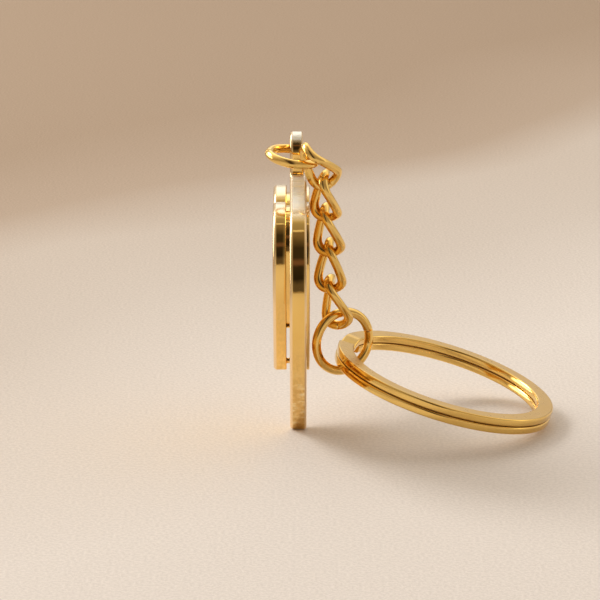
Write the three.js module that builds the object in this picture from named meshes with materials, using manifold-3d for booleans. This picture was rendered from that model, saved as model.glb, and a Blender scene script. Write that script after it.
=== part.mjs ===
// A gold-plated keychain: a heart-shaped plate with an eye at its top, a smaller heart fixed in
// front of it, a short curb chain, and a split ring for the keys.
// Millimetres, +Z up. The fob stands upright with its thickness along X and its outline in YZ.
// The origin is the lowest point of the fob, midway through its width.
import * as THREE from 'three';
import { mergeVertices } from 'three/addons/utils/BufferGeometryUtils.js';
import Module from 'manifold-3d';

const wasm = await Module();
wasm.setup();

// Main plate: its outline is two lobes and a rounded tip
const mainLeftFace = -1.34;
const mainThickness = 2.22;
const mainHeight = 33.0;
const mainLobeRadius = 11.2;
const mainLobeOffset = 5.9;
const mainTipRadius = 1.0;
const mainShoulderRise = 2.2;
const mainFrontRound = 0.42;
const mainBackRound = 0.36;

// Eye on the main plate, and the neck that carries it
const eyeOuterRadius = 2.5;
const eyeBoreRadius = 1.32;
const eyeThickness = 1.7;
const eyeRound = 0.24;
const eyeRise = 5.4;
const neckThickness = 1.85;
const neckHalfWidth = 1.5;
const neckFilletOut = 0.7;
const neckFilletRise = 0.8;
const neckRootDepth = 4.0;

// Front plate: a smaller heart, nearly level with the top of the main plate
const frontThickness = 1.76;
const frontHeight = 24.1;
const frontLobeRadius = 7.4;
const frontLobeOffset = 5.4;
const frontTipRadius = 0.9;
const frontTopDrop = 0.6;
const frontFrontRound = 0.42;
const frontBackRound = 0.16;

// Spacer between the two plates, set in from the outline of the front plate
const plateGap = 0.46;
const spacerHeight = 17.6;
const spacerLobeRadius = 5.5;
const spacerLobeOffset = 4.0;
const spacerTipRadius = 0.8;
const spacerTopDrop = 0.7;

// Post between the plates, near the tip of the front plate
const postRadius = 0.42;
const postRise = 1.25;

// Thin plate on the back, of the same outline as the front plate
const backThickness = 0.42;
const backRound = 0.14;

// Small jump ring, which passes through the eye
const smallRingWire = 1.2;
const smallRingOuter = 7.4;
const smallRingShift = -0.46;
const smallRingForward = 3.2;
const smallRingDrop = 0.2;
const smallRingRollDeg = 9.7;
const smallRingPitchDeg = 6.5;
const smallRingSeamDeg = 186;

// Curb chain: each link is an oval of wire, twisted a quarter turn along its length
const linkWire = 1.24;
const linkLength = 8.05;
const linkWidth = 4.9;
const linkTwistDeg = 90;
const firstLinkAzimuthDeg = -40.2;
const linkSlack = 0.26;
const firstLinkSlack = 0.99;
const linkLeansDeg = [30.6, 2.7, 5.9, 1.1, 11.4];
const linkBacksDeg = [30.8, 23.9, 15.5, 8.8, 8.7];
const linkYawsDeg = [20.0, -13.4, -10.6, -8.7, -14.3];
const seatLeansDeg = [13.2, 34.7, 5.7, 3.2, 4.8];
const seatBacksDeg = [11.5, 30.0, 19.4, 5.3, 16.2];

// Large jump ring, which joins the chain to the split ring
const largeRingWire = 1.24;
const largeRingOuter = 9.4;
const largeRingSlack = 0.43;
const largeRingSwingDeg = 14.4;
const largeRingYawDeg = 29;
const largeRingPitchDeg = -1.2;
const largeRingSeamDeg = 14;

// Split ring: two coils of flat wire, with a jog where the wire climbs from one to the other
const splitRingOuter = 30.5;
const splitRingWireWidth = 2.2;
const splitRingWireHeight = 1.04;
const splitRingCoilGap = 0.1;
const splitRingCorner = 0.22;
const splitRingJogDeg = 17;
const splitRingUpperEndAzimuthDeg = 172;
const splitRingHeldAzimuthDeg = 182;
const splitRingHeldSlack = 0.5;
const splitRingHeldShift = 0.24;
const splitRingTiltAzimuthDeg = -7;
const splitRingLift = 0.3;

// Butt joint of a bent ring of wire
const seamGap = 0.12;

// Facets
const lobeSteps = 26;
const tipSteps = 6;
const roundSteps = 3;
const eyeSteps = 40;
const neckSteps = 8;
const wireSides = 10;
const smallRingSteps = 36;
const largeRingSteps = 42;
const linkEndSteps = 10;
const linkSideSteps = 5;
const splitRingStepsPerTurn = 52;

const rad = THREE.MathUtils.degToRad;
const v3 = (x, y, z) => new THREE.Vector3(x, y, z);
const UP = v3(0, 0, 1);

const plateGold = () => new THREE.MeshStandardMaterial({ color: 0xdfae55, metalness: 1, roughness: 0.12 });
const wireGold = () => new THREE.MeshStandardMaterial({ color: 0xdca53f, metalness: 1, roughness: 0.18 });

// Solids and booleans

function toManifold(geometry) {
  const bare = geometry.clone();
  bare.deleteAttribute('normal');
  bare.deleteAttribute('uv');
  const merged = mergeVertices(bare, 1e-4);
  return new wasm.Manifold(new wasm.Mesh({
    numProp: 3,
    vertProperties: new Float32Array(merged.attributes.position.array),
    triVerts: new Uint32Array(merged.index.array),
  }));
}

function fromManifold(solid) {
  const mesh = solid.getMesh();
  const geometry = new THREE.BufferGeometry();
  geometry.setAttribute('position', new THREE.BufferAttribute(mesh.vertProperties.slice(), 3));
  geometry.setIndex(new THREE.BufferAttribute(mesh.triVerts.slice(), 1));
  geometry.computeVertexNormals();
  return geometry;
}

function makeGeometry(points, faces) {
  const geometry = new THREE.BufferGeometry();
  geometry.setAttribute('position', new THREE.Float32BufferAttribute(points.flatMap((p) => p.toArray()), 3));
  geometry.setIndex(faces.flat());
  geometry.computeVertexNormals();
  return geometry;
}

function named(name, geometry, material) {
  const mesh = new THREE.Mesh(geometry, material);
  mesh.name = name;
  return mesh;
}

// Heart outlines: points (y, z) anticlockwise, with the lowest point at z = 0.
// The same arcs serve every inset, so all outlines of one heart have the same number of points.
// A heart with a shoulder has no cleft: straight slopes run from a level stretch down to its lobes.

function heartOutline(heart, inset) {
  const { height, lobeRadius, lobeOffset, tipRadius, shoulder } = heart;
  const lobe = new THREE.Vector2(lobeOffset, height - lobeRadius);
  const tip = new THREE.Vector2(0, tipRadius);
  const between = lobe.clone().sub(tip);
  const flank = between.angle() - Math.acos((tipRadius - lobeRadius) / between.length());
  const lobeArc = lobeRadius - inset;
  const tipArc = tipRadius - inset;
  const peak = shoulder ? new THREE.Vector2(shoulder.halfWidth, height + shoulder.rise) : null;
  const toLobe = peak ? lobe.clone().sub(peak) : null;
  const slope = peak ? Math.atan2(toLobe.y, toLobe.x) + Math.asin(lobeRadius / toLobe.length()) : 0;
  const arcEnd = peak ? slope + Math.PI / 2 : Math.acos(-lobeOffset / lobeArc);
  const on = (centre, radius, angle) => new THREE.Vector2(
    centre.x + radius * Math.cos(angle),
    centre.y + radius * Math.sin(angle),
  );
  const half = [];
  for (let i = 0; i <= tipSteps; i++) {
    half.push(on(tip, tipArc, THREE.MathUtils.lerp(-Math.PI / 2, flank, i / tipSteps)));
  }
  for (let i = 0; i <= lobeSteps; i++) {
    half.push(on(lobe, lobeArc, THREE.MathUtils.lerp(flank, arcEnd, i / lobeSteps)));
  }
  if (peak) half.push(new THREE.Vector2(peak.x + inset * Math.tan(slope / 2), peak.y - inset));
  const offAxis = peak ? half.slice(1) : half.slice(1, -1);
  const otherHalf = offAxis.reverse().map((p) => new THREE.Vector2(-p.x, p.y));
  return [...half, ...otherHalf];
}

// A plate between two X planes, with a quarter round along each face

function roundedLevels(left, right, leftRound, rightRound) {
  const levels = [];
  for (let i = 0; i <= roundSteps; i++) {
    const turn = (i / roundSteps) * Math.PI / 2;
    levels.push({ x: left + leftRound * (1 - Math.cos(turn)), inset: leftRound * (1 - Math.sin(turn)) });
  }
  for (let i = roundSteps; i >= 0; i--) {
    const turn = (i / roundSteps) * Math.PI / 2;
    levels.push({ x: right - rightRound * (1 - Math.cos(turn)), inset: rightRound * (1 - Math.sin(turn)) });
  }
  return levels;
}

function heartPlate(heart, left, right, leftRound, rightRound, bottom) {
  const levels = roundedLevels(left, right, leftRound, rightRound);
  const rings = levels.map(({ x, inset }) => heartOutline(heart, inset).map((p) => v3(x, p.x, bottom + p.y)));
  const count = rings[0].length;
  const faces = [];
  for (let k = 0; k + 1 < rings.length; k++) {
    for (let i = 0; i < count; i++) {
      const j = (i + 1) % count;
      const a = k * count;
      const b = a + count;
      faces.push([a + i, b + j, b + i], [a + i, a + j, b + j]);
    }
  }
  const capOf = (inset) => THREE.ShapeUtils.triangulateShape(heartOutline(heart, inset), []);
  const last = (rings.length - 1) * count;
  for (const [a, b, c] of capOf(leftRound)) faces.push([a, c, b]);
  for (const [a, b, c] of capOf(rightRound)) faces.push([last + a, last + b, last + c]);
  return facingOut(makeGeometry(rings.flat(), faces));
}

function signedVolume(geometry) {
  const p = geometry.attributes.position;
  const index = geometry.index.array;
  const [a, b, c] = [v3(), v3(), v3()];
  let sum = 0;
  for (let i = 0; i < index.length; i += 3) {
    a.fromBufferAttribute(p, index[i]);
    b.fromBufferAttribute(p, index[i + 1]);
    c.fromBufferAttribute(p, index[i + 2]);
    sum += a.dot(b.cross(c));
  }
  return sum;
}

function facingOut(geometry) {
  if (signedVolume(geometry) < 0) {
    const index = geometry.index.array;
    for (let i = 0; i < index.length; i += 3) {
      [index[i], index[i + 1]] = [index[i + 1], index[i]];
    }
    geometry.computeVertexNormals();
  }
  return geometry;
}

// A section swept along centres. Each frame gives the directions of the section's u and v.

function sweep(centres, frames, section, closed) {
  const points = centres.flatMap((centre, i) => section.map(([u, v]) => centre.clone()
    .addScaledVector(frames[i].u, u)
    .addScaledVector(frames[i].v, v)));
  const sides = section.length;
  const faces = [];
  const spans = closed ? centres.length : centres.length - 1;
  for (let k = 0; k < spans; k++) {
    const a = k * sides;
    const b = ((k + 1) % centres.length) * sides;
    for (let i = 0; i < sides; i++) {
      const j = (i + 1) % sides;
      faces.push([a + i, a + j, b + j], [a + i, b + j, b + i]);
    }
  }
  if (!closed) {
    const last = (centres.length - 1) * sides;
    for (let i = 1; i + 1 < sides; i++) {
      faces.push([0, i + 1, i], [last, last + i, last + i + 1]);
    }
  }
  return facingOut(makeGeometry(points, faces));
}

function roundSection(diameter) {
  return Array.from({ length: wireSides }, (_, i) => {
    const angle = (i / wireSides) * 2 * Math.PI;
    return [Math.cos(angle) * diameter / 2, Math.sin(angle) * diameter / 2];
  });
}

function flatSection(width, height, corner) {
  const w = width / 2;
  const h = height / 2;
  const c = corner;
  return [[w, h - c], [w - c, h], [c - w, h], [-w, h - c], [-w, c - h], [c - w, -h], [w - c, -h], [w, c - h]];
}

// A ring of round wire about the local Z axis, cut once, with its ends a seam gap apart

function jumpRing(outer, wire, seamDeg, steps) {
  const radius = (outer - wire) / 2;
  const gapAngle = seamGap / radius;
  const centres = [];
  const frames = [];
  for (let i = 0; i <= steps; i++) {
    const angle = rad(seamDeg) + gapAngle / 2 + (2 * Math.PI - gapAngle) * (i / steps);
    const out = v3(Math.cos(angle), Math.sin(angle), 0);
    centres.push(out.clone().multiplyScalar(radius));
    frames.push({ u: out, v: UP });
  }
  return sweep(centres, frames, roundSection(wire), false);
}

// A curb link about the local Z axis. Its top end lies along the local Y axis, and its bottom end
// along X, so that the next link's top end crosses it squarely.

function curbLink() {
  const half = (linkLength - linkWire) / 2;
  const side = (linkWidth - linkWire) / 2;
  const flat = [];
  for (let i = 0; i < linkEndSteps; i++) {
    const angle = Math.PI * (i / linkEndSteps);
    flat.push([side * Math.cos(angle), half - side + side * Math.sin(angle)]);
  }
  for (let i = 0; i < linkSideSteps; i++) {
    flat.push([-side, THREE.MathUtils.lerp(half - side, side - half, i / linkSideSteps)]);
  }
  for (let i = 0; i < linkEndSteps; i++) {
    const angle = Math.PI * (1 + i / linkEndSteps);
    flat.push([side * Math.cos(angle), side - half + side * Math.sin(angle)]);
  }
  for (let i = 0; i < linkSideSteps; i++) {
    flat.push([side, THREE.MathUtils.lerp(side - half, half - side, i / linkSideSteps)]);
  }
  const centres = flat.map(([x, z]) => {
    const turn = -rad(linkTwistDeg) * (z + half) / (2 * half);
    return v3(x * Math.cos(turn), x * Math.sin(turn), z);
  });
  return sweep(centres, loopFrames(centres), roundSection(linkWire), true);
}

// Frames that turn as little as possible along a closed loop, and meet where it closes

function loopFrames(centres) {
  const count = centres.length;
  const tangents = centres.map((_, i) => centres[(i + 1) % count].clone()
    .sub(centres[(i + count - 1) % count])
    .normalize());
  const carry = (u, from, to) => u.clone().applyQuaternion(new THREE.Quaternion().setFromUnitVectors(from, to));
  const us = [v3(0, 1, 0).cross(tangents[0]).normalize()];
  for (let i = 1; i < count; i++) us.push(carry(us[i - 1], tangents[i - 1], tangents[i]));
  const back = carry(us[count - 1], tangents[count - 1], tangents[0]);
  const miss = Math.atan2(back.clone().cross(us[0]).dot(tangents[0]), back.dot(us[0]));
  return us.map((u, i) => {
    const turned = u.clone().applyAxisAngle(tangents[i], miss * (i / count));
    return { u: turned, v: tangents[i].clone().cross(turned) };
  });
}

// The split ring about the local Z axis: a lower coil, a jog that climbs, and an upper coil. Its
// wire runs clockwise seen from above.

const coilRise = splitRingWireHeight + splitRingCoilGap;
const splitRingMidRadius = (splitRingOuter - splitRingWireWidth) / 2;
const splitRingHeight = coilRise + splitRingWireHeight;

function splitRing() {
  const jog = rad(splitRingJogDeg);
  const sweepAngle = 4 * Math.PI - jog;
  const start = rad(splitRingUpperEndAzimuthDeg) - jog;
  const steps = 2 * splitRingStepsPerTurn;
  const centres = [];
  const frames = [];
  for (let i = 0; i <= steps; i++) {
    const along = sweepAngle * (i / steps);
    const climb = THREE.MathUtils.smoothstep(along, 2 * Math.PI - jog, 2 * Math.PI);
    const out = v3(Math.cos(start - along), Math.sin(start - along), 0);
    centres.push(out.clone().multiplyScalar(splitRingMidRadius).setZ(coilRise * (climb - 0.5)));
    frames.push({ u: out, v: UP });
  }
  const section = flatSection(splitRingWireWidth, splitRingWireHeight, splitRingCorner);
  return sweep(centres, frames, section, false);
}

// The eye and its neck, which are one casting with the main plate

const mainHeart = {
  height: mainHeight,
  lobeRadius: mainLobeRadius,
  lobeOffset: mainLobeOffset,
  tipRadius: mainTipRadius,
  shoulder: { rise: mainShoulderRise, halfWidth: neckHalfWidth + neckFilletOut },
};
const frontHeart = {
  height: frontHeight,
  lobeRadius: frontLobeRadius,
  lobeOffset: frontLobeOffset,
  tipRadius: frontTipRadius,
};
const spacerHeart = {
  height: spacerHeight,
  lobeRadius: spacerLobeRadius,
  lobeOffset: spacerLobeOffset,
  tipRadius: spacerTipRadius,
};

const eyeHeight = mainHeight + eyeRise;

// A shape drawn in (y, z) becomes a solid that runs along X from left over the thickness
function standShape(geometry, left) {
  const basis = new THREE.Matrix4().makeBasis(v3(0, 1, 0), v3(0, 0, 1), v3(1, 0, 0));
  return geometry.applyMatrix4(basis).translate(left, 0, 0);
}

function eyeSolid() {
  const ring = new THREE.Shape().absarc(0, 0, eyeOuterRadius, 0, 2 * Math.PI, false);
  ring.holes.push(new THREE.Path().absarc(0, 0, eyeBoreRadius, 0, 2 * Math.PI, true));
  const geometry = new THREE.ExtrudeGeometry(ring, {
    depth: eyeThickness - 2 * eyeRound,
    curveSegments: eyeSteps,
    bevelThickness: eyeRound,
    bevelSize: eyeRound,
    bevelOffset: -eyeRound,
    bevelSegments: 2,
  });
  geometry.translate(0, eyeHeight, eyeRound);
  return toManifold(standShape(geometry, mainLeftFace));
}

function neckSolid() {
  const foot = mainHeight + mainShoulderRise;
  const outer = neckHalfWidth + neckFilletOut;
  const shape = new THREE.Shape();
  shape.moveTo(-outer, foot - neckRootDepth);
  shape.lineTo(outer, foot - neckRootDepth);
  shape.lineTo(outer, foot);
  shape.quadraticCurveTo(neckHalfWidth, foot, neckHalfWidth, foot + neckFilletRise);
  shape.lineTo(neckHalfWidth, eyeHeight - eyeBoreRadius - eyeRound);
  shape.lineTo(-neckHalfWidth, eyeHeight - eyeBoreRadius - eyeRound);
  shape.lineTo(-neckHalfWidth, foot + neckFilletRise);
  shape.quadraticCurveTo(-neckHalfWidth, foot, -outer, foot);
  const geometry = new THREE.ExtrudeGeometry(shape, {
    depth: neckThickness,
    curveSegments: neckSteps,
    bevelEnabled: false,
  });
  return toManifold(standShape(geometry, mainLeftFace));
}

function boreCutter() {
  const length = 2 * mainThickness;
  const cylinder = new THREE.CylinderGeometry(eyeBoreRadius, eyeBoreRadius, length, eyeSteps);
  cylinder.rotateZ(Math.PI / 2).translate(mainLeftFace + mainThickness / 2, 0, eyeHeight);
  return toManifold(cylinder);
}

function mainPlate() {
  const right = mainLeftFace + mainThickness;
  const plate = toManifold(heartPlate(mainHeart, mainLeftFace, right, mainFrontRound, mainBackRound, 0));
  const neck = neckSolid().subtract(boreCutter());
  return named('main_plate', fromManifold(plate.add(neck).add(eyeSolid())), plateGold());
}

// Plates in front of the main plate and behind it

const frontTop = mainHeight - frontTopDrop;
const frontBottom = frontTop - frontHeight;
const frontRight = mainLeftFace - plateGap;

function frontPlate() {
  const left = frontRight - frontThickness;
  const geometry = heartPlate(frontHeart, left, frontRight, frontFrontRound, frontBackRound, frontBottom);
  return named('front_plate', geometry, plateGold());
}

function backPlate() {
  const left = mainLeftFace + mainThickness;
  const geometry = heartPlate(frontHeart, left, left + backThickness, 0, backRound, frontBottom);
  return named('back_plate', geometry, plateGold());
}

function spacerPlate() {
  const bottom = frontTop - spacerTopDrop - spacerHeight;
  const geometry = heartPlate(spacerHeart, frontRight, mainLeftFace, 0, 0, bottom);
  return named('spacer_plate', geometry, plateGold());
}

function lowerPost() {
  const geometry = new THREE.CylinderGeometry(postRadius, postRadius, plateGap, wireSides);
  geometry.rotateZ(Math.PI / 2).translate(frontRight + plateGap / 2, 0, frontBottom + postRise);
  return named('lower_post', geometry, plateGold());
}

// Where the small jump ring hangs in the eye

function ringPlacement(centre, axisZ, axisX) {
  const z = axisZ.clone().normalize();
  const x = axisX.clone().addScaledVector(z, -axisX.dot(z)).normalize();
  return new THREE.Matrix4().makeBasis(x, z.clone().cross(x), z).setPosition(centre);
}

function placed(mesh, matrix) {
  matrix.decompose(mesh.position, mesh.quaternion, mesh.scale);
  return mesh;
}

const smallRadius = (smallRingOuter - smallRingWire) / 2;
const smallAxis = v3(Math.tan(rad(smallRingRollDeg)), -Math.tan(rad(smallRingPitchDeg)), 1);
const smallCentre = v3(
  mainLeftFace + eyeThickness / 2 + smallRingShift,
  -smallRingForward,
  eyeHeight - smallRingDrop,
);
const smallMatrix = ringPlacement(smallCentre, smallAxis, v3(1, 0, 0));

// Where each link hangs: its top end sits over the wire that holds it, one slack away

function aboveDirection(leanDeg, backDeg) {
  return v3(-Math.tan(rad(leanDeg)), -Math.tan(rad(backDeg)), 1).normalize();
}

function linkMatrix(topCentre, index) {
  const z = aboveDirection(linkLeansDeg[index], linkBacksDeg[index]);
  const facing = v3(Math.cos(rad(linkYawsDeg[index])), Math.sin(rad(linkYawsDeg[index])), 0);
  const x = facing.addScaledVector(z, -facing.dot(z)).normalize();
  const centre = topCentre.clone().addScaledVector(z, (linkWire - linkLength) / 2);
  return new THREE.Matrix4().makeBasis(x, z.clone().cross(x), z).setPosition(centre);
}

const firstAngle = rad(firstLinkAzimuthDeg);
const firstHold = v3(smallRadius * Math.cos(firstAngle), smallRadius * Math.sin(firstAngle), 0)
  .applyMatrix4(smallMatrix);
const bottomLocal = v3(0, 0, (linkWire - linkLength) / 2);

const linkMatrices = [];
let holdPoint = firstHold;
let seat = smallRingWire / 2 + linkWire / 2 + firstLinkSlack;
for (let index = 0; index < linkLeansDeg.length; index++) {
  const above = aboveDirection(seatLeansDeg[index], seatBacksDeg[index]);
  const matrix = linkMatrix(holdPoint.clone().addScaledVector(above, seat), index);
  linkMatrices.push(matrix);
  holdPoint = bottomLocal.clone().applyMatrix4(matrix);
  seat = linkWire + linkSlack;
}

// The large jump ring stands on edge in the last link

const largeRadius = (largeRingOuter - largeRingWire) / 2;
const largeAxis = v3(
  Math.sin(rad(largeRingYawDeg)),
  -Math.cos(rad(largeRingYawDeg)),
  Math.tan(rad(largeRingPitchDeg)),
).normalize();
const largeUp = UP.clone().addScaledVector(largeAxis, -largeAxis.z).normalize();
const largeSeat = (linkWire + largeRingWire) / 2 + largeRingSlack;
const largeHold = largeUp.clone().applyAxisAngle(largeAxis, rad(largeRingSwingDeg));
const largeCentre = holdPoint.clone().addScaledVector(largeHold, largeSeat - largeRadius);
const largeMatrix = ringPlacement(largeCentre, largeAxis, v3(1, 0, 0));

// The split ring lies through the large jump ring. Its held side is high, and its far side comes
// down to a small lift above the level of the origin.

const heldHeight = (largeRingWire + splitRingHeight) / 2 + splitRingHeldSlack;
const heldPoint = largeCentre.clone()
  .addScaledVector(largeUp, -largeRadius)
  .addScaledVector(UP, heldHeight)
  .add(v3(splitRingHeldShift, 0, 0));
const heldAngle = rad(splitRingHeldAzimuthDeg);
const tiltAngle = rad(splitRingTiltAzimuthDeg);
const heldReach = -splitRingMidRadius * Math.cos(heldAngle - tiltAngle);
const reach = splitRingOuter / 2 + heldReach;
const halfHeight = splitRingHeight / 2;
const heldDrop = heldPoint.z - splitRingLift;
const splitTilt = Math.asin(heldDrop / Math.hypot(reach, halfHeight)) - Math.atan2(halfHeight, reach);
const splitAxis = v3(
  Math.sin(splitTilt) * Math.cos(tiltAngle),
  Math.sin(splitTilt) * Math.sin(tiltAngle),
  Math.cos(splitTilt),
);
const splitTurn = ringPlacement(v3(0, 0, 0), splitAxis, v3(1, 0, 0));
const splitHeld = v3(Math.cos(heldAngle), Math.sin(heldAngle), 0)
  .multiplyScalar(splitRingMidRadius)
  .applyMatrix4(splitTurn);
const splitMatrix = ringPlacement(heldPoint.clone().sub(splitHeld), splitAxis, v3(1, 0, 0));

const fob = new THREE.Group();
fob.add(mainPlate(), frontPlate(), backPlate(), spacerPlate(), lowerPost());

const chain = new THREE.Group();
linkMatrices.forEach((matrix, index) => {
  chain.add(placed(named(`chain_link_${index + 1}`, curbLink(), wireGold()), matrix));
});

const smallGeometry = jumpRing(smallRingOuter, smallRingWire, smallRingSeamDeg, smallRingSteps);
const largeGeometry = jumpRing(largeRingOuter, largeRingWire, largeRingSeamDeg, largeRingSteps);

const keychain = new THREE.Group();
keychain.add(
  fob,
  placed(named('small_jump_ring', smallGeometry, wireGold()), smallMatrix),
  chain,
  placed(named('large_jump_ring', largeGeometry, wireGold()), largeMatrix),
  placed(named('split_ring', splitRing(), wireGold()), splitMatrix),
);

export default keychain;
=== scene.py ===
# %% [markdown]
# A gold-plated keychain stands on its tip on a pale surface. Its parts are thin heart-shaped
# plates, bent wire rings and a twisted chain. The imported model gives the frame: every piece below
# is finer than the one in the frame, lies in the same place, and moves with the same body.

import math

import bpy
import numpy as np
from mathutils import Matrix, Vector


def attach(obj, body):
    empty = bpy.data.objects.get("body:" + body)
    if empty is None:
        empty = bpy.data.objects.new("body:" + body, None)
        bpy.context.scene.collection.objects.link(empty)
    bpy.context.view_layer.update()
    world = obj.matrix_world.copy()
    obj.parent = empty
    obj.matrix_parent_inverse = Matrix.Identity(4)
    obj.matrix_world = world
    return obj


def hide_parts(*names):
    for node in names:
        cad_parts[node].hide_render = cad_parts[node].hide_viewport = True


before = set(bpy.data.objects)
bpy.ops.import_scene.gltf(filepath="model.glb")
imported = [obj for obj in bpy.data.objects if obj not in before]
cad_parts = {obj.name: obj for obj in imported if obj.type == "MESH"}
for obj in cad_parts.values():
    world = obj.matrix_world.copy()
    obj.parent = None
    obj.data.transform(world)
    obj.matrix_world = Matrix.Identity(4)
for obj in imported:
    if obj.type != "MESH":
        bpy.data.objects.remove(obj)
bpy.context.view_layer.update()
MM = 0.001

# %% [markdown]
# The photograph looks along +Y from a little above, with a long lens, so the fob is seen edge on.
# The camera's distance sets the perspective, and its lens then sets the scale: one millimetre at
# the fob is about seven and a half pixels.

# %% Camera
CAMERA_ELEVATION = math.radians(14)
CAMERA_DISTANCE = 450 * MM
CAMERA_TARGET = Vector((0, 0, 17.95 * MM))
CAMERA_LENS = 201.5
CAMERA_SENSOR = 36
CAMERA_NEAREST = 10 * MM
CAMERA_FARTHEST = 20
camera_data = bpy.data.cameras.new("camera")
camera_data.lens = CAMERA_LENS
camera_data.sensor_width = CAMERA_SENSOR
camera_data.clip_start = CAMERA_NEAREST
camera_data.clip_end = CAMERA_FARTHEST
camera = bpy.data.objects.new("camera", camera_data)
bpy.context.collection.objects.link(camera)
camera_side = Vector((0, -math.cos(CAMERA_ELEVATION), math.sin(CAMERA_ELEVATION)))
camera.location = CAMERA_TARGET + CAMERA_DISTANCE * camera_side
camera.rotation_euler = (-camera_side).to_track_quat("-Z", "Y").to_euler()
bpy.context.scene.camera = camera
print("camera at", [round(v, 4) for v in camera.location])

# %% [markdown]
# Each finish is a small tree of nodes. One helper adds a node and fills its inputs, with a link
# where the value comes from another node, so the trees further down read as short lists. The
# floor and the world are trees of the same kind.

# %% Node helpers
MIX_FIRST, MIX_SECOND, MIX_RESULT = 6, 7, 2  # where a mix node keeps its colour sockets


def add_node(owner, kind, inputs, **settings):
    """Adds a node to a material or world. An input's value is a socket to link, or a plain value."""
    tree = owner.node_tree
    node = tree.nodes.new(kind)
    for setting, choice in settings.items():
        setattr(node, setting, choice)
    for place, value in inputs.items():
        if isinstance(value, bpy.types.NodeSocket):
            tree.links.new(value, node.inputs[place])
        else:
            node.inputs[place].default_value = value
    return node


def feed(owner, value, node, place):
    owner.node_tree.links.new(value, node.inputs[place])


def full_colour(tone):
    """Takes three colour values, or one number for a grey."""
    return (*tone, 1) if isinstance(tone, tuple) else (tone, tone, tone, 1)


def add_ramp(owner, value, stops):
    """Turns a value into a tone. Each stop is a value and its tone, in rising order."""
    ramp = add_node(owner, "ShaderNodeValToRGB", {"Fac": value})
    elements = ramp.color_ramp.elements
    for position, _ in stops[2:]:
        elements.new(position)
    for element, (position, tone) in zip(elements, stops):
        element.position = position
        element.color = full_colour(tone)
    return ramp.outputs["Color"]


def add_blend(owner, factor, first, second):
    """Gives first where the factor is 0, and second where it is 1."""
    inputs = {"Factor": factor, MIX_FIRST: first, MIX_SECOND: second}
    return add_node(owner, "ShaderNodeMix", inputs, data_type="RGBA").outputs[MIX_RESULT]


def add_product(owner, first, second):
    inputs = {0: first, 1: second}
    return add_node(owner, "ShaderNodeVectorMath", inputs, operation="MULTIPLY").outputs["Vector"]


def add_math(owner, operation, *values):
    inputs = dict(enumerate(values))
    return add_node(owner, "ShaderNodeMath", inputs, operation=operation).outputs["Value"]


# %% [markdown]
# A pattern needs something to follow. Here it follows the place on the piece or the way the
# surface looks, each measured along a direction, or soft noise. On a piece all are read in its
# own coordinates, so a pattern stays in place when the piece moves. In the world, at the end, the
# same helpers follow the direction that is looked at, which Blender calls Generated there.

# %% Pattern helpers


def add_along(owner, coordinates, direction):
    """Measures a place (Object) or the way a surface looks (Normal) along a direction."""
    source = add_node(owner, "ShaderNodeTexCoord", {}).outputs[coordinates]
    inputs = {0: source, 1: direction}
    return add_node(owner, "ShaderNodeVectorMath", inputs, operation="DOT_PRODUCT").outputs["Value"]


def add_share(owner, value, low, high):
    """Gives 0 where the value is low or less, and 1 where it is high or more."""
    inputs = {"Value": value, "From Min": low, "From Max": high}
    return add_node(owner, "ShaderNodeMapRange", inputs).outputs["Result"]


def add_by_height(owner, stops):
    """Gives a tone that follows the height. Each stop is a height in millimetres and its tone."""
    low, high = stops[0][0], stops[-1][0]
    share = add_share(owner, add_along(owner, "Object", (0, 0, 1)), low * MM, high * MM)
    return add_ramp(owner, share, [((z - low) / (high - low), tone) for z, tone in stops])


def add_noise(owner, scale, detail, stretch=(1, 1, 1), coordinates="Object"):
    """Gives soft noise. A larger scale is finer, and a small stretch draws it long that way."""
    source = add_node(owner, "ShaderNodeTexCoord", {}).outputs[coordinates]
    mapping = add_node(owner, "ShaderNodeMapping", {"Vector": source, "Scale": stretch})
    inputs = {"Vector": mapping.outputs["Vector"], "Scale": scale, "Detail": detail}
    return add_node(owner, "ShaderNodeTexNoise", inputs).outputs["Fac"]


def add_bump(material, shader, height, strength, distance):
    inputs = {"Height": height, "Strength": strength, "Distance": distance}
    bump = add_node(material, "ShaderNodeBump", inputs)
    feed(material, bump.outputs["Normal"], shader, "Normal")


# %% [markdown]
# Gold plate over brass is a metal with a warm colour and little roughness. One even colour would
# look like plastic. Real plating is never a perfect mirror: the polishing wheel leaves faint waves
# and hairlines, and the colour drifts a little. Noise gives all three, at the size of the real
# marks. The plates are polished smoother than the wire.

# %% Gold finishes
COLOUR_DRIFT = dict(scale=180, detail=2)
HAIRLINES = dict(scale=900, detail=4, stretch=(1, 1, 0.25))
HAIRLINE_ROUGHNESS = [(0.35, 0.7), (0.7, 1.4)]
WAVE_HEIGHT = 0.05 * MM
WAVE_DETAIL = 2
PLATE_LOOK = dict(tints=[(0.3, (0.91, 0.59, 0.17)), (0.7, (0.96, 0.65, 0.21))], roughness=0.05,
                  wave_scale=220, wave_strength=0.05)
WIRE_LOOK = dict(tints=[(0.3, (0.81, 0.53, 0.15)), (0.7, (0.92, 0.625, 0.20))], roughness=0.11,
                 wave_scale=300, wave_strength=0.14)


def new_material(name):
    material = bpy.data.materials.new(name)
    material.use_nodes = True
    material.node_tree.nodes.clear()
    shader = add_node(material, "ShaderNodeBsdfPrincipled", {})
    add_node(material, "ShaderNodeOutputMaterial", {"Surface": shader.outputs["BSDF"]})
    return material, shader


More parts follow.
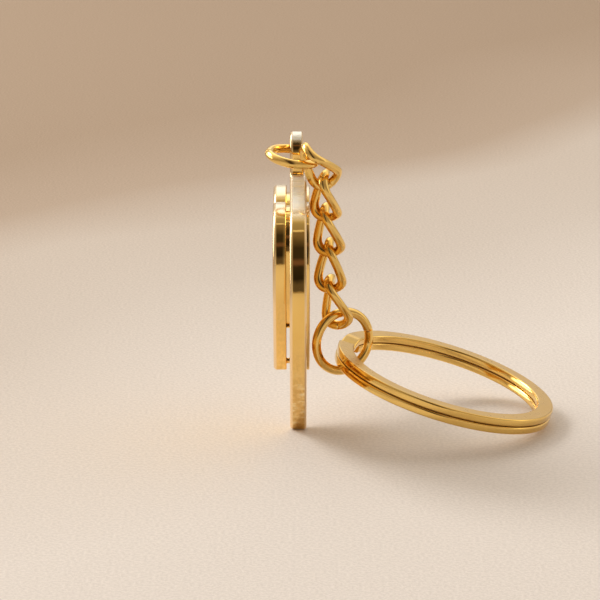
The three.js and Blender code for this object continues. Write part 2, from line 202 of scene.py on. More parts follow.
def gold(name, tints, roughness, wave_scale, wave_strength):
    """Returns the material, its shader, and the sockets that hold its colour and roughness."""
    material, shader = new_material(name)
    shader.inputs["Metallic"].default_value = 1
    tint = add_ramp(material, add_noise(material, **COLOUR_DRIFT), tints)
    rough_stops = [(level, share * roughness) for level, share in HAIRLINE_ROUGHNESS]
    rough = add_ramp(material, add_noise(material, **HAIRLINES), rough_stops)
    feed(material, tint, shader, "Base Color")
    feed(material, rough, shader, "Roughness")
    waves = add_noise(material, wave_scale, WAVE_DETAIL)
    add_bump(material, shader, waves, wave_strength, WAVE_HEIGHT)
    return material, shader, tint, rough


plate_gold, plate_shader, plate_tint, plate_rough = gold("plate_gold", **PLATE_LOOK)
wire_gold = gold("wire_gold", **WIRE_LOOK)[0]
print("golds:", plate_gold.name, wire_gold.name)

# %% [markdown]
# The main plate's shoulders and the top of its eye were brushed after polishing, so their rims
# have a satin roughness and fine level lines, and they carry a painted highlight: a pale, nearly
# white gold stands in for the soft glow of the light above. Tones that follow the height keep this
# part off the flanks, the neck and the eye's side, and a test of the normal keeps it off the
# plates' faces, which look sideways. The tops of the outer plates reach a little into it. The
# lines are noise that is drawn long across the rim. Brushing scatters the light as a dull surface
# does, so the shader is hardly a metal there and the painted pale colour shows, and its index is
# high to keep a sheen.

# %% Brushed shoulders with a painted highlight
BRUSHED_AND_HIGHLIGHT_HEIGHTS = [(31.32, 0.0), (32.75, 1.0), (35.17, 1.0), (35.555, 0.0), (39.68, 0.0), (40.285, 1.0)]
RIM_FOUND = [(0.5, 1.0), (0.9, 0.0)]
BRUSH_LINES = dict(scale=700, detail=3, stretch=(0.02, 0.3, 6))
BRUSH_PAINTED_HIGHLIGHT_TINTS = [(0.35, (1.0, 0.97, 0.78)), (0.6, (1.0, 1.0, 0.90))]
BRUSH_ROUGHNESS = [(0.3, 0.22), (0.7, 0.36)]
BRUSH_METALLIC = 0.15
BRUSH_INDEX = 2.6
sideways = add_math(plate_gold, "ABSOLUTE", add_along(plate_gold, "Normal", (1, 0, 0)))
rim_only = add_ramp(plate_gold, sideways, RIM_FOUND)
brushed_and_highlight = add_product(plate_gold, add_by_height(plate_gold, BRUSHED_AND_HIGHLIGHT_HEIGHTS), rim_only)
lines = add_noise(plate_gold, **BRUSH_LINES)
satin = add_ramp(plate_gold, lines, BRUSH_ROUGHNESS)
# The pale tints are a painted highlight on the brushed rims.
brush_painted_highlight = add_ramp(plate_gold, lines, BRUSH_PAINTED_HIGHLIGHT_TINTS)
plate_rough = add_blend(plate_gold, brushed_and_highlight, plate_rough, satin)
plate_tint = add_blend(plate_gold, brushed_and_highlight, plate_tint, brush_painted_highlight)
metallic = add_ramp(plate_gold, brushed_and_highlight, [(0.0, 1.0), (1.0, BRUSH_METALLIC)])
feed(plate_gold, metallic, plate_shader, "Metallic")
plate_shader.inputs["IOR"].default_value = BRUSH_INDEX
print("brushed from", BRUSHED_AND_HIGHLIGHT_HEIGHTS[0][0], "to", BRUSHED_AND_HIGHLIGHT_HEIGHTS[3][0], "mm, and from", BRUSHED_AND_HIGHLIGHT_HEIGHTS[4][0], "mm up")

# %% [markdown]
# The fob rests on its tip, and the lowest part of its rims mirrors the weave of the cloth just in
# front. That reflection is painted: noise that is wider than it is high, in paler and deeper gold,
# which fades out with height.

# %% Painted reflection near the tip
WEAVE_REFLECTION_HEIGHTS = [(7.0, 1.0), (11.0, 0.0)]
WEAVE_REFLECTION_NOISE = dict(scale=900, detail=3, stretch=(0.7, 0.3, 1.6))
WEAVE_REFLECTION_TONES = [(0.42, (0.80, 0.50, 0.15)), (0.5, (0.90, 0.60, 0.21)), (0.62, (1.0, 0.80, 0.42))]
# Painted reflection of the cloth's weave, on the lowest part of the rims.
weave_reflection = add_product(plate_gold, add_by_height(plate_gold, WEAVE_REFLECTION_HEIGHTS), rim_only)
reflected_weave_tones = add_ramp(plate_gold, add_noise(plate_gold, **WEAVE_REFLECTION_NOISE), WEAVE_REFLECTION_TONES)
plate_tint = add_blend(plate_gold, weave_reflection, plate_tint, reflected_weave_tones)
print("worn below", WEAVE_REFLECTION_HEIGHTS[-1][0], "mm")

# %% [markdown]
# Every rim has rounded edges, and these catch the light as thin lines. Their colour is painted
# light: a pale gold low on the plates is a painted highlight, and a deeper gold higher up is
# painted shade that dims them. They could have a second material, but its faces would have to be
# chosen. They look neither straight out of the rim nor straight sideways, so the sideways part of
# the normal finds them instead.

# %% Rim edges with painted light
EDGE_FOUND = [(0.10, 0.0), (0.28, 1.0), (0.90, 1.0), (0.98, 0.0)]
EDGE_PAINTED_LIGHT_TINTS = [(19.0, (1.0, 0.76, 0.45)), (25.0, (0.74, 0.54, 0.29))]
EDGE_ROUGHNESS = 0.2
edges = add_ramp(plate_gold, sideways, EDGE_FOUND)
# Painted highlight low on the edges, painted shade higher up.
edge_painted_light = add_by_height(plate_gold, EDGE_PAINTED_LIGHT_TINTS)
plate_tint = add_blend(plate_gold, edges, plate_tint, edge_painted_light)
plate_rough = add_blend(plate_gold, edges, plate_rough, full_colour(EDGE_ROUGHNESS))
feed(plate_gold, plate_tint, plate_shader, "Base Color")
feed(plate_gold, plate_rough, plate_shader, "Roughness")
print("nodes in the plates' finish:", len(plate_gold.node_tree.nodes))

# %% [markdown]
# Blender's tools act on what is selected, so every step starts clean and chooses one piece.
# Vertices, edges and faces are then picked by a test of their place or of the way they look. By
# hand they would be clicked, but a test still works when a size changes. Points less than NEAR
# millimetres apart count as one place, and a face looks one way where that part of its normal is
# over TOWARD.

# %% Choosing
NEAR = 0.01
TOWARD = 0.9


def start_clean():
    bpy.ops.object.select_all(action="DESELECT")


def choose(obj):
    start_clean()
    obj.select_set(True)
    bpy.context.view_layer.objects.active = obj


def edit(obj, mode="VERT"):
    """Opens the piece in edit mode with everything selected."""
    choose(obj)
    bpy.ops.object.mode_set(mode="EDIT")
    bpy.ops.mesh.select_mode(type=mode)
    bpy.ops.mesh.select_all(action="SELECT")


def leave_edit():
    bpy.ops.object.mode_set(mode="OBJECT")


def pick(obj, mode, wanted):
    """Opens the piece with only those items selected for which wanted(item) is true."""
    edit(obj, mode)
    bpy.ops.mesh.select_all(action="DESELECT")
    leave_edit()
    items = {"VERT": obj.data.vertices, "EDGE": obj.data.edges, "FACE": obj.data.polygons}[mode]
    picked = [item for item in items if wanted(item)]
    for item in picked:
        item.select = True
    bpy.ops.object.mode_set(mode="EDIT")
    return len(picked)


def face_outwards():
    bpy.ops.mesh.select_all(action="SELECT")
    bpy.ops.mesh.normals_make_consistent(inside=False)


# %% [markdown]
# Every piece ends in the same way: its place goes into its mesh, its shading is made smooth apart
# from true edges, and it takes the finish, the body and the node that it stands for. Pieces are
# drawn in millimetres and are scaled to metres here, which keeps their sizes readable.

# %% Finishing a piece
SMOOTH_BELOW = math.radians(35)


def apply_modifier(obj, modifier):
    choose(obj)
    bpy.ops.object.modifier_apply(modifier=modifier.name)


def finish_piece(obj, body, node, material):
    obj.name = node + "_piece"
    obj.data.transform(Matrix.Scale(MM, 4) @ obj.matrix_world)
    obj.matrix_world = Matrix.Identity(4)
    edit(obj)
    face_outwards()
    leave_edit()
    bpy.ops.object.shade_smooth_by_angle(angle=SMOOTH_BELOW)
    weighted = obj.modifiers.new("flat faces stay flat", "WEIGHTED_NORMAL")
    weighted.keep_sharp = True
    apply_modifier(obj, weighted)
    obj.data.materials.clear()
    obj.data.materials.append(material)
    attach(obj, body)
    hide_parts(node)
    print(obj.name, len(obj.data.polygons), "faces")


# %% [markdown]
# The rings and links lie where the frame has them, and their own axes are read from its meshes. A
# ring is thinnest along its own Z axis. A link is longest along its own Z axis and second longest
# along X. The middle of its extent on each axis is its centre.

# %% Places of the wire pieces


def place_of(node, facing=(0, 0, 1), is_ring=True):
    """Returns the middle and the turn of a ring or link, with its own Z axis towards facing."""
    points = np.array([v.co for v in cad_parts[node].data.vertices]) / MM
    mean = points.mean(axis=0)
    axes = np.linalg.eigh((points - mean).T @ (points - mean))[1]
    thinnest, second, longest = (Vector(axes[:, column]) for column in range(3))
    along_z = thinnest if is_ring else longest
    if along_z.dot(Vector(facing)) < 0:
        along_z.negate()
    along_x = Vector((1, 0, 0)) if is_ring else second
    if along_x.x < 0:
        along_x.negate()
    along_x = (along_x - along_x.dot(along_z) * along_z).normalized()
    turn = Matrix((along_x, along_z.cross(along_x), along_z)).transposed()
    own = (points - mean) @ np.array(turn)
    middle = Vector(mean) + turn @ Vector((own.min(axis=0) + own.max(axis=0)) / 2)
    return middle, turn


def put(obj, node, facing=(0, 0, 1), is_ring=True):
    middle, turn = place_of(node, facing, is_ring)
    obj.matrix_world = Matrix.Translation(middle) @ turn.to_4x4() @ obj.matrix_world
    bpy.context.view_layer.update()
    print(node, "middle", [round(v, 2) for v in middle])


# %% [markdown]
# A jump ring is a length of round wire bent round a rod and cut through once. A torus would be
# quicker, but it is closed. So a filled circle is spun round the Z axis and stops a hair short of
# the full turn, which leaves the real cut. A small bevel takes the burr off both ends.

# %% Jump rings
WIRE_SIDES = 28
SEAM_GAP = 0.12
BURR = 0.07
BURR_STEPS = 3
SMALL_RING = dict(outer=7.4, wire=1.2, seam_deg=186, steps=110, facing=(0, 0, 1))
LARGE_RING = dict(outer=9.4, wire=1.24, seam_deg=14, steps=130, facing=(0, -1, 0))


def jump_ring(node, body, outer, wire, seam_deg, steps, facing):
    radius = (outer - wire) / 2
    gap_angle = SEAM_GAP / radius
    start_clean()
    bpy.ops.mesh.primitive_circle_add(vertices=WIRE_SIDES, radius=wire / 2, fill_type="NGON",
                                      location=(radius, 0, 0), rotation=(math.pi / 2, 0, 0))
    ring = bpy.context.object
    edit(ring)
    bpy.ops.mesh.spin(steps=steps, angle=2 * math.pi - gap_angle, center=(0, 0, 0), axis=(0, 0, 1))
    face_outwards()
    leave_edit()
    ends = [face for face in ring.data.polygons if len(face.vertices) == WIRE_SIDES]
    burrs = {key for face in ends for key in face.edge_keys}
    pick(ring, "EDGE", lambda edge: edge.key in burrs)
    bpy.ops.mesh.bevel(offset=BURR, segments=BURR_STEPS, affect="EDGES")
    leave_edit()
    seam = Matrix.Rotation(math.radians(seam_deg) + gap_angle / 2, 4, "Z")
    ring.matrix_world = seam @ ring.matrix_world
    put(ring, node, facing)
    finish_piece(ring, body, node, wire_gold)


jump_ring("small_jump_ring", "small_ring", **SMALL_RING)
jump_ring("large_jump_ring", "large_ring", **LARGE_RING)

# %% [markdown]
# A curb link starts as a plain oval of wire, and is then twisted so that it lies flat in the
# chain. A curve with a round section could give the oval too, but its mesh would still need the
# twist. Here a torus is pulled apart into an oval, its long sides get more loops, and a twist
# turns one end by a quarter against the other. A faint notch at the lower end is the closed cut
# of the link. One link is modelled, and every link is a copy.

# %% Curb link
LINK_WIRE = 1.24
LINK_LENGTH = 8.05
LINK_WIDTH = 4.9
LINK_TWIST = math.radians(-90)
LINK_STEPS = 96
LINK_SIDE_CUTS = 24
LINK_CUT_SHARE = 0.93
half = (LINK_LENGTH - LINK_WIRE) / 2
side = (LINK_WIDTH - LINK_WIRE) / 2
pull = half - side
start_clean()
bpy.ops.mesh.primitive_torus_add(major_segments=LINK_STEPS, minor_segments=WIRE_SIDES,
                                 major_radius=side, minor_radius=LINK_WIRE / 2,
                                 rotation=(math.pi / 2, 0, 0))
link = bpy.context.object
bpy.ops.object.transform_apply(location=True, rotation=True, scale=True)
for way in (1, -1):
    pick(link, "VERT", lambda v: (v.co.z > NEAR) == (way > 0))
    bpy.ops.transform.translate(value=(0, 0, way * pull))
    leave_edit()


def edge_length(obj, edge):
    first, second = (obj.data.vertices[i].co for i in edge.vertices)
    return (first - second).length


pick(link, "EDGE", lambda edge: edge_length(link, edge) > pull)
bpy.ops.mesh.subdivide(number_cuts=LINK_SIDE_CUTS)
leave_edit()
pick(link, "VERT", lambda v: abs(v.co.x) < NEAR and v.co.z < 0)
bpy.ops.transform.resize(value=(1, LINK_CUT_SHARE, LINK_CUT_SHARE), center_override=(0, 0, -half))
leave_edit()
twist = link.modifiers.new("twist", "SIMPLE_DEFORM")
twist.deform_method = "TWIST"
twist.deform_axis = "Z"
twist.angle = LINK_TWIST * LINK_LENGTH / (2 * half)
apply_modifier(link, twist)
print("link is", [round(v, 2) for v in link.dimensions], "mm")

# %% [markdown]
# Five links hang in each other between the two jump rings. Each copy gets a mesh of its own, and
# goes to the place and turn of the link that it stands for.

# %% Chain
LINKS = 5
for number in range(1, LINKS + 1):
    copy = bpy.data.objects.new("link", link.data.copy())
    bpy.context.collection.objects.link(copy)
    put(copy, f"chain_link_{number}", is_ring=False)
    finish_piece(copy, f"link_{number}", f"chain_link_{number}", wire_gold)
bpy.data.objects.remove(link)

# %% [markdown]
# The split ring is pressed flat wire. Its flat side is rougher than its rounded edges, and it is
# given a darker gold, which is painted shade; where that face tilts a little from the axis, as
# where the wire climbs from one coil to the other, it is darker still. How far the surface looks
# along the ring's own axis tells the three apart, and no face has to be chosen by hand. That axis
# comes from the ring's place in the frame.

# %% Split ring finish, with painted shade
RING_LOOK = dict(tints=[(0.3, (0.84, 0.55, 0.16)), (0.7, (0.93, 0.64, 0.20))], roughness=0.10,
                 wave_scale=300, wave_strength=0.14)
FLAT_FOUND = [(0.85, 0.0), (0.95, 1.0)]
FLAT_GRAIN = dict(scale=900, detail=3)
FLAT_DRIFT = dict(scale=200, detail=2)
FLAT_PAINTED_SHADE_TINTS = [(0.3, (0.66, 0.43, 0.14)), (0.7, (0.71, 0.47, 0.16))]
FLAT_ROUGHNESS = [(0.3, 0.26), (0.7, 0.36)]
TILT_DARKENING = [(0.89, 1.0), (0.925, 0.66), (0.965, 0.66), (0.985, 1.0)]
ring_gold, ring_shader, ring_tint, ring_rough = gold("ring_gold", **RING_LOOK)
ring_axis = place_of("split_ring")[1].col[2]
upward = add_along(ring_gold, "Normal", ring_axis)
flat = add_ramp(ring_gold, upward, FLAT_FOUND)
flat_rough = add_ramp(ring_gold, add_noise(ring_gold, **FLAT_GRAIN), FLAT_ROUGHNESS)
# The flat faces take a darker gold, which is painted shade.
flat_painted_shade = add_ramp(ring_gold, add_noise(ring_gold, **FLAT_DRIFT), FLAT_PAINTED_SHADE_TINTS)
flat_painted_shade = add_product(ring_gold, flat_painted_shade, add_ramp(ring_gold, upward, TILT_DARKENING))
feed(ring_gold, add_blend(ring_gold, flat, ring_tint, flat_painted_shade), ring_shader, "Base Color")
feed(ring_gold, add_blend(ring_gold, flat, ring_rough, flat_rough), ring_shader, "Roughness")
print("the ring's axis:", [round(v, 3) for v in ring_axis])

# %% [markdown]
# The split ring is flat wire wound twice. The wire climbs from the lower coil to the upper one
# over a short way, and its two ends lie on either side of that climb. The spin tool would climb
# evenly all the way, so a small rounded profile is drawn with a bevel, and is then carried round
# in steps that climb where the wire does.

# %% Split ring
RING_OUTER = 30.5
RING_WIRE_WIDTH = 2.2
RING_WIRE_HEIGHT = 1.04
RING_COIL_GAP = 0.1
RING_CORNER = 0.26
RING_CORNER_STEPS = 5
RING_JOG = math.radians(17)
RING_UPPER_END = math.radians(172)
RING_STEPS = 480
middle_radius = (RING_OUTER - RING_WIRE_WIDTH) / 2
coil_rise = RING_WIRE_HEIGHT + RING_COIL_GAP


def smoothstep(x, low, high):
    t = min(1, max(0, (x - low) / (high - low)))
    return t * t * (3 - 2 * t)


start_clean()
bpy.ops.mesh.primitive_plane_add(size=1, location=(middle_radius, 0, 0),
                                 rotation=(math.pi / 2, 0, 0))
split_ring = bpy.context.object
split_ring.scale = (RING_WIRE_WIDTH, RING_WIRE_HEIGHT, 1)
bpy.ops.object.transform_apply(location=True, rotation=True, scale=True)
edit(split_ring)
bpy.ops.mesh.bevel(offset=RING_CORNER, segments=RING_CORNER_STEPS, affect="VERTICES")
leave_edit()
profile = [v.co.copy() for v in split_ring.data.vertices]
profile.sort(key=lambda point: math.atan2(point.z, point.x - middle_radius))
points = []
for step in range(RING_STEPS + 1):
    along = (4 * math.pi - RING_JOG) * step / RING_STEPS
    climb = coil_rise * (smoothstep(along, 2 * math.pi - RING_JOG, 2 * math.pi) - 0.5)
    turn = Matrix.Rotation(RING_UPPER_END - RING_JOG - along, 4, "Z")
    points += [turn @ (point + Vector((0, 0, climb))) for point in profile]
sides = len(profile)
faces = [list(range(sides)), [RING_STEPS * sides + i for i in range(sides)]]
for here in range(0, RING_STEPS * sides, sides):
    for i in range(sides):
        after = (i + 1) % sides
        faces.append([here + i, here + after, here + sides + after, here + sides + i])
wound = bpy.data.meshes.new("split_ring")
wound.from_pydata(points, [], faces)
split_ring.data = wound
put(split_ring, "split_ring")
finish_piece(split_ring, "split_ring", "split_ring", ring_gold)

# %% [markdown]
# A heart outline is two round lobes and a rounded tip, joined by straight flanks. It could be
# drawn point by point and filled, but then each new size would mean new points. Here one lobe and
# the tip are added as cylinders and wrapped in their convex hull, which draws the flank. Cut at
# the middle and mirrored, that half becomes the heart. With a block on the middle line, straight
# shoulders rise to the block from the lobes and fill the cleft.

# %% Heart outline
HEART_STEPS = 256
BLOCK_DEPTH = 1.0
MIRROR_MERGE = 0.004
FLAT_BELOW = math.radians(0.2)


def cylinder(radius, left, right, y, z, steps):
    bpy.ops.mesh.primitive_cylinder_add(
        vertices=steps, radius=radius, depth=right - left,
        location=((left + right) / 2, y, z), rotation=(0, math.pi / 2, 0))
    bpy.ops.object.transform_apply(location=True, rotation=True, scale=True)
    return bpy.context.object


def block(half_width, left, right, top):
    bpy.ops.mesh.primitive_cube_add(size=1, location=((left + right) / 2, 0, top - BLOCK_DEPTH / 2))
    bpy.context.object.scale = (right - left, 2 * half_width, BLOCK_DEPTH)
    bpy.ops.object.transform_apply(location=True, rotation=True, scale=True)
    return bpy.context.object


def heart(left, right, height, lobe_radius, lobe_offset, tip_radius, bottom, shoulders=None):
    """Makes a plate between left and right. Shoulders are a half width and a top height."""
    start_clean()
    parts = [block(shoulders[0], left, right, shoulders[1])] if shoulders else []
    parts.append(cylinder(tip_radius, left, right, 0, bottom + tip_radius, HEART_STEPS))
    plate = cylinder(lobe_radius, left, right, lobe_offset, bottom + height - lobe_radius,
                     HEART_STEPS)
    for part in parts:
        part.select_set(True)
    bpy.ops.object.join()
    edit(plate)
    bpy.ops.mesh.convex_hull()
    bpy.ops.mesh.select_all(action="SELECT")
    bpy.ops.mesh.bisect(plane_co=(0, 0, 0), plane_no=(0, 1, 0), clear_inner=True)
    leave_edit()
    mirror = plate.modifiers.new("other half", "MIRROR")
    mirror.use_axis = (False, True, False)
    mirror.merge_threshold = MIRROR_MERGE
    apply_modifier(plate, mirror)
    edit(plate)
    bpy.ops.mesh.dissolve_limited(angle_limit=FLAT_BELOW)
    face_outwards()
    leave_edit()
    return plate


# %% [markdown]
# A polishing wheel rounds the rims of a plate, the outer ones more. A bevel does the same. It
# takes the sharp edges that lie in the plane of one face, so each rim gets its own rounding.

# %% Rounded rims
SHARP_ABOVE = math.radians(50)


def sharp_keys(obj):
    normals = {}
    for face in obj.data.polygons:
        for key in face.edge_keys:
            normals.setdefault(key, []).append(face.normal)
    return {key for key, pair in normals.items()
            if len(pair) == 2 and pair[0].angle(pair[1]) > SHARP_ABOVE}


def round_rim(obj, x, radius, segments, above=-math.inf):
    """Bevels the sharp edges that lie in the plane at x and above a height."""
    keys = sharp_keys(obj)

    def wanted(edge):
        ends = [obj.data.vertices[i].co for i in edge.vertices]
        return edge.key in keys and all(abs(p.x - x) < NEAR and p.z > above for p in ends)

    count = pick(obj, "EDGE", wanted)
    bpy.ops.mesh.bevel(offset=radius, segments=segments, affect="EDGES", clamp_overlap=False)
    leave_edit()
    print("rounded", count, "edges at x", x)


# %% [markdown]
# The fob is a stack of plates. The front plate and the thin back plate are the same heart on
# either side of the main plate, and a smaller heart holds the front plate off it. Each is a
# heart of its own thickness, so one function makes all three. The front plate is the thickest of
# them, and its outer rim has the largest rounding. Where each plate begins and ends is read from
# the frame, so that the stack has no gap.

# %% Front, back and spacer plates
OUTER_HEART = dict(height=24.1, lobe_radius=7.4, lobe_offset=5.4, tip_radius=0.9, bottom=8.3)
SPACER_HEART = dict(height=17.6, lobe_radius=5.5, lobe_offset=4.0, tip_radius=0.8, bottom=14.1)
FRONT_OUTER_RIM = dict(radius=0.5, segments=8)
FRONT_INNER_RIM = dict(radius=0.16, segments=4)
BACK_RIM = dict(radius=0.14, segments=4)


def sides_of(node):
    """Reads a plate's left and right face from the frame, to a thousandth of a millimetre."""
    places = [v.co.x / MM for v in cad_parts[node].data.vertices]
    return round(min(places), 3), round(max(places), 3)


front_left, front_right = sides_of("front_plate")
main_left, main_right = sides_of("main_plate")
back_right = sides_of("back_plate")[1]
print("the plates' faces:", front_left, front_right, main_left, main_right, back_right)

front = heart(front_left, front_right, **OUTER_HEART)
round_rim(front, front_left, **FRONT_OUTER_RIM)
round_rim(front, front_right, **FRONT_INNER_RIM)
finish_piece(front, "fob", "front_plate", plate_gold)

back = heart(main_right, back_right, **OUTER_HEART)
round_rim(back, back_right, **BACK_RIM)
finish_piece(back, "fob", "back_plate", plate_gold)

spacer = heart(front_right, main_left, **SPACER_HEART)
finish_piece(spacer, "fob", "spacer_plate", plate_gold)

# %% [markdown]
# The post is a stub of wire between the plates. It is thinner in the middle and spreads at both
# ends, as solder does. A spun profile would do, but it is very small, so a short cylinder simply
# gets two wider steps drawn out of each end.

# %% Lower post
POST_HEIGHT = 9.55
POST_WAIST = 0.36
POST_SIDES = 48
POST_STEPS = [(0.07, 0.38), (0.05, 0.42)]
reach = sum(length for length, _ in POST_STEPS)
waist_left, waist_right = front_right + reach, main_left - reach
start_clean()
post = cylinder(POST_WAIST, waist_left, waist_right, 0, POST_HEIGHT, POST_SIDES)
for way, end in ((-1, waist_left), (1, waist_right)):
    pick(post, "FACE", lambda face: face.normal.x * way > TOWARD)
    last_radius = POST_WAIST
    for length, radius in POST_STEPS:
        end += way * length
        bpy.ops.mesh.extrude_region_move(TRANSFORM_OT_translate={"value": (way * length, 0, 0)})
        bpy.ops.transform.resize(value=(1, radius / last_radius, radius / last_radius),
                                 center_override=(end, 0, POST_HEIGHT))
        last_radius = radius
    leave_edit()
print("post is", [round(v, 2) for v in post.dimensions], "mm")
finish_piece(post, "fob", "lower_post", plate_gold)

# %% [markdown]
# The main plate is one casting. The shoulders of its heart carry a neck, and the neck carries an
# eye. A bevel of the inner corner could round the neck's foot, but the small faces that a boolean
# leaves can spoil it. So the neck is a block whose top is drawn up and narrowed step by step,
# which gives its foot a small hollow curve.

# %% Neck
NECK_HALF = 1.5
NECK_THICKNESS = 1.85
NECK_FOOT = 35.2
NECK_TOP = 36.7
FILLET_OUT = 0.7
FILLET_RISE = 0.8
FILLET_STEPS = 10
neck_right = main_left + NECK_THICKNESS
start_clean()
neck = block(NECK_HALF + FILLET_OUT, main_left, neck_right, NECK_FOOT)
pick(neck, "FACE", lambda face: face.normal.z > TOWARD)
width, height = NECK_HALF + FILLET_OUT, NECK_FOOT
for step in range(1, FILLET_STEPS + 1):
    t = step / FILLET_STEPS
    next_width = NECK_HALF + FILLET_OUT * (1 - t) ** 2
    next_height = NECK_FOOT + FILLET_RISE * t ** 2
    bpy.ops.mesh.extrude_region_move(TRANSFORM_OT_translate={"value": (0, 0, next_height - height)})
    bpy.ops.transform.resize(value=(1, next_width / width, 1), center_override=(0, 0, next_height))
    width, height = next_width, next_height
bpy.ops.mesh.extrude_region_move(TRANSFORM_OT_translate={"value": (0, 0, NECK_TOP - height)})
leave_edit()
print("neck narrows to", round(2 * width, 2), "mm")

# %% [markdown]
# Booleans join the heart, the neck and the eye into one solid and bore the eye. Three separate
# meshes would show their borders on the rim. Booleans leave tiny faces where surfaces nearly
# meet, so close points are merged first, and then the rims are rounded as on the other plates.

# %% Main plate
MAIN_HEART = dict(height=33.0, lobe_radius=11.2, lobe_offset=5.9, tip_radius=1.0, bottom=0)
EYE_HEIGHT = 38.4
EYE_OUTER = 2.5
EYE_BORE = 1.32
EYE_THICKNESS = 1.7
EYE_STEPS = 128
BORE_STEPS = 96
BORE_REACH = 3
POINT_MERGE = 0.002
MAIN_LEFT_RIM = dict(radius=0.44, segments=7)
MAIN_RIGHT_RIM = dict(radius=0.34, segments=6)
EYE_RIM = dict(radius=0.2, segments=4)
NECK_RIM_START = 0.1
NECK_RIM = dict(radius=0.14, segments=3, above=NECK_FOOT + NECK_RIM_START)


def combine(obj, other, how):
    boolean = obj.modifiers.new("join", "BOOLEAN")
    boolean.operation = how
    boolean.solver = "EXACT"
    boolean.object = other
    apply_modifier(obj, boolean)
    bpy.data.objects.remove(other)


eye_right = main_left + EYE_THICKNESS
main = heart(main_left, main_right, **MAIN_HEART, shoulders=(NECK_HALF + FILLET_OUT, NECK_FOOT))
combine(main, neck, "UNION")
start_clean()
eye = cylinder(EYE_OUTER, main_left, eye_right, 0, EYE_HEIGHT, EYE_STEPS)
combine(main, eye, "UNION")
start_clean()
bore = cylinder(EYE_BORE, -BORE_REACH, BORE_REACH, 0, EYE_HEIGHT, BORE_STEPS)
combine(main, bore, "DIFFERENCE")
edit(main)
bpy.ops.mesh.remove_doubles(threshold=POINT_MERGE)
bpy.ops.mesh.dissolve_degenerate(threshold=NEAR)
bpy.ops.mesh.dissolve_limited(angle_limit=FLAT_BELOW)
leave_edit()
round_rim(main, main_left, **MAIN_LEFT_RIM)
round_rim(main, main_right, **MAIN_RIGHT_RIM)
round_rim(main, eye_right, **EYE_RIM)
round_rim(main, neck_right, **NECK_RIM)
finish_piece(main, "fob", "main_plate", plate_gold)

# %% [markdown]
# The floor is pale cloth, wide enough to fill the view, so there is no wall. It is pale near the
# viewer, and further off and to the left it is darkened by painted shade, the shade of folds in
# the cloth. Slow noise lets the borders of the painted shade wander. An uneven mesh would give such
# shade from the lamp, but painted on a flat floor it stays in place under any light. Fine noise is
# the grain of the cloth, so it doesn't look like plastic.

# %% Floor
FLOOR_SIZE = 6
FLOOR_MIDDLE = (0, 1.5, 0)
FLOOR_SLANT = (-1.1, 1.0, 0)
FLOOR_NEAR = 0.08
FLOOR_FAR = 0.33
FLOOR_WANDER = 0.16
FLOOR_WANDER_NOISE = dict(scale=7, detail=1)
FLOOR_ROUGHNESS = 0.9
CLOTH_AND_PAINTED_SHADE_TINTS = [
    (0.0, (0.83, 0.775, 0.735)),
    (0.35, (0.68, 0.61, 0.55)),
    (0.55, (0.64, 0.56, 0.49)),
    (0.70, (0.49, 0.38, 0.29)),
    (1.0, (0.42, 0.31, 0.22)),
]
GRAIN = dict(scale=2200, detail=3)
GRAIN_TONES = [(0.4, 0.91), (0.6, 1.0)]
GRAIN_STRENGTH = 0.4
GRAIN_HEIGHT = 0.2 * MM

start_clean()
bpy.ops.mesh.primitive_plane_add(size=FLOOR_SIZE, location=FLOOR_MIDDLE)
floor = bpy.context.object
bpy.ops.object.transform_apply(location=True, rotation=True, scale=True)
floor.name = "floor"
cloth, cloth_shader = new_material("floor_cloth")
cloth_shader.inputs["Roughness"].default_value = FLOOR_ROUGHNESS
slant = add_along(cloth, "Object", FLOOR_SLANT)
wander = add_noise(cloth, **FLOOR_WANDER_NOISE)
distance = add_math(cloth, "MULTIPLY_ADD", wander, FLOOR_WANDER, slant)
# Painted shade: the floor darkens further off and to the left.
cloth_painted_shade_and_grain = add_ramp(cloth, add_share(cloth, distance, FLOOR_NEAR, FLOOR_FAR), CLOTH_AND_PAINTED_SHADE_TINTS)
grain = add_noise(cloth, **GRAIN)
cloth_painted_shade_and_grain = add_product(cloth, cloth_painted_shade_and_grain, add_ramp(cloth, grain, GRAIN_TONES))
feed(cloth, cloth_painted_shade_and_grain, cloth_shader, "Base Color")
add_bump(cloth, cloth_shader, grain, GRAIN_STRENGTH, GRAIN_HEIGHT)
floor.data.materials.append(cloth)
print("floor is", FLOOR_SIZE, "m wide")

# %% [markdown]
# One soft lamp stands high on the left and behind, and throws the shadow towards the viewer's
# right. A point lamp would give that shadow a hard border. An area lamp softens it, the more so
# the larger it is.

# %% Lamp
LAMP_PLACE = Vector((-0.52, 0.38, 0.52))
LAMP_WIDTH = 0.35
LAMP_HEIGHT = 0.25
LAMP_POWER = 2.95
LAMP_COLOUR = (1.0, 0.975, 0.94)
lamp_data = bpy.data.lights.new("lamp", "AREA")
lamp_data.shape = "RECTANGLE"
lamp_data.size = LAMP_WIDTH
lamp_data.size_y = LAMP_HEIGHT
lamp_data.energy = LAMP_POWER
lamp_data.color = LAMP_COLOUR
lamp = bpy.data.objects.new("lamp", lamp_data)
bpy.context.collection.objects.link(lamp)
lamp.location = LAMP_PLACE
lamp.rotation_euler = (-LAMP_PLACE).to_track_quat("-Z", "Y").to_euler()
print("lamp is", round(LAMP_PLACE.length, 2), "m away")

# %% [markdown]
# Polished metal shows the room it stands in. A photograph of a room could be used, but a painted
# one needs no file. The first ramp goes from the horizon on the viewer's side, over the top, to
# the horizon behind the fob. The viewer's side is dark, with a dim warm band halfway up and a
# thin bright line just before the top. Past the top it grows to a wide bright stretch, which ends
# above a dimmer horizon. Faint noise keeps the borders from being ruled lines.

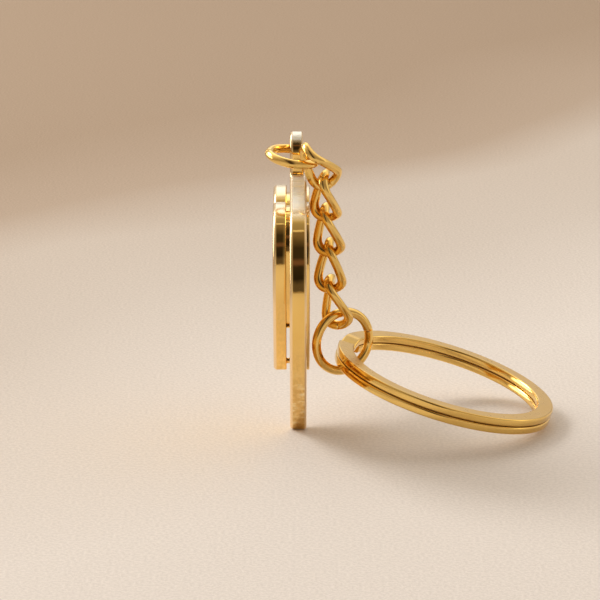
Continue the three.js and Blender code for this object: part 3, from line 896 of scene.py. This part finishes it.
# %% Room seen along the view
BORDER_WANDER = 0.03
BORDER_NOISE = dict(scale=7, detail=4, coordinates="Generated")
NOISE_MIDDLE = 0.5
VIEW_TONES = [
    (0.00, (0.30, 0.24, 0.18)),
    (0.012, (0.08, 0.06, 0.045)),
    (0.06, (0.08, 0.06, 0.045)),
    (0.10, (0.016, 0.012, 0.009)),
    (0.19, (0.025, 0.018, 0.012)),
    (0.215, (0.11, 0.06, 0.045)),
    (0.235, (0.11, 0.06, 0.045)),
    (0.26, (0.030, 0.023, 0.015)),
    (0.34, (0.030, 0.023, 0.015)),
    (0.40, (0.09, 0.068, 0.045)),
    (0.45, (0.16, 0.12, 0.08)),
    (0.474, (0.16, 0.12, 0.08)),
    (0.486, (0.74, 0.66, 0.55)),
    (0.498, (0.25, 0.21, 0.16)),
    (0.56, (0.30, 0.26, 0.20)),
    (0.60, (0.52, 0.46, 0.38)),
    (0.64, (0.56, 0.50, 0.42)),
    (0.685, (1.35, 1.3, 1.2)),
    (0.86, (1.25, 1.2, 1.1)),
    (0.90, (0.52, 0.48, 0.43)),
    (1.00, (0.42, 0.36, 0.30)),
]
world = bpy.data.worlds.new("room")
bpy.context.scene.world = world
world.use_nodes = True
world.node_tree.nodes.clear()
up = add_along(world, "Generated", (0, 0, 1))
to_viewer = add_along(world, "Generated", (0, -1, 0))
half_turn = add_math(world, "DIVIDE", add_math(world, "ARCTAN2", up, to_viewer), math.pi)
wander = add_math(world, "SUBTRACT", add_noise(world, **BORDER_NOISE), NOISE_MIDDLE)
half_turn = add_math(world, "MULTIPLY_ADD", wander, BORDER_WANDER, half_turn)
view_room = add_ramp(world, half_turn, VIEW_TONES)
print("tones along the view:", len(VIEW_TONES))

# %% [markdown]
# The rims mirror the middle of the room, and the rings and links mirror its sides too. With one
# ramp all round, both would show the same bands. So the sides have a plainer ramp of their own,
# which takes over where a direction points well to the left or right. A bright window stands low
# on the left and a little behind.

# %% Sides of the room and window
SIDE_TONES = [
    (0.00, (0.55, 0.47, 0.39)),
    (0.20, (0.25, 0.20, 0.15)),
    (0.45, (0.45, 0.38, 0.31)),
    (0.70, (0.98, 0.89, 0.77)),
    (0.88, (0.55, 0.50, 0.44)),
    (1.00, (0.50, 0.44, 0.37)),
]
SIDE_BEGINS = [(0.10, 0.0), (0.34, 1.0)]
WINDOW_WAY = Vector((-0.9, 0.4, 0.12)).normalized()
WINDOW_BORDER = [(0.90, 0.0), (0.95, 1.0)]
WINDOW_TONE = (2.8, 2.65, 2.4)
WORLD_STRENGTH = 1.32
across = add_math(world, "ABSOLUTE", add_along(world, "Generated", (1, 0, 0)))
side_room = add_ramp(world, half_turn, SIDE_TONES)
room = add_blend(world, add_ramp(world, across, SIDE_BEGINS), view_room, side_room)
window = add_ramp(world, add_along(world, "Generated", WINDOW_WAY), WINDOW_BORDER)
room = add_blend(world, window, room, full_colour(WINDOW_TONE))
background = add_node(world, "ShaderNodeBackground", {"Color": room, "Strength": WORLD_STRENGTH})
add_node(world, "ShaderNodeOutputWorld", {"Surface": background.outputs["Background"]})
bpy.context.scene.view_settings.view_transform = "Standard"
print("nodes in the world:", len(world.node_tree.nodes))
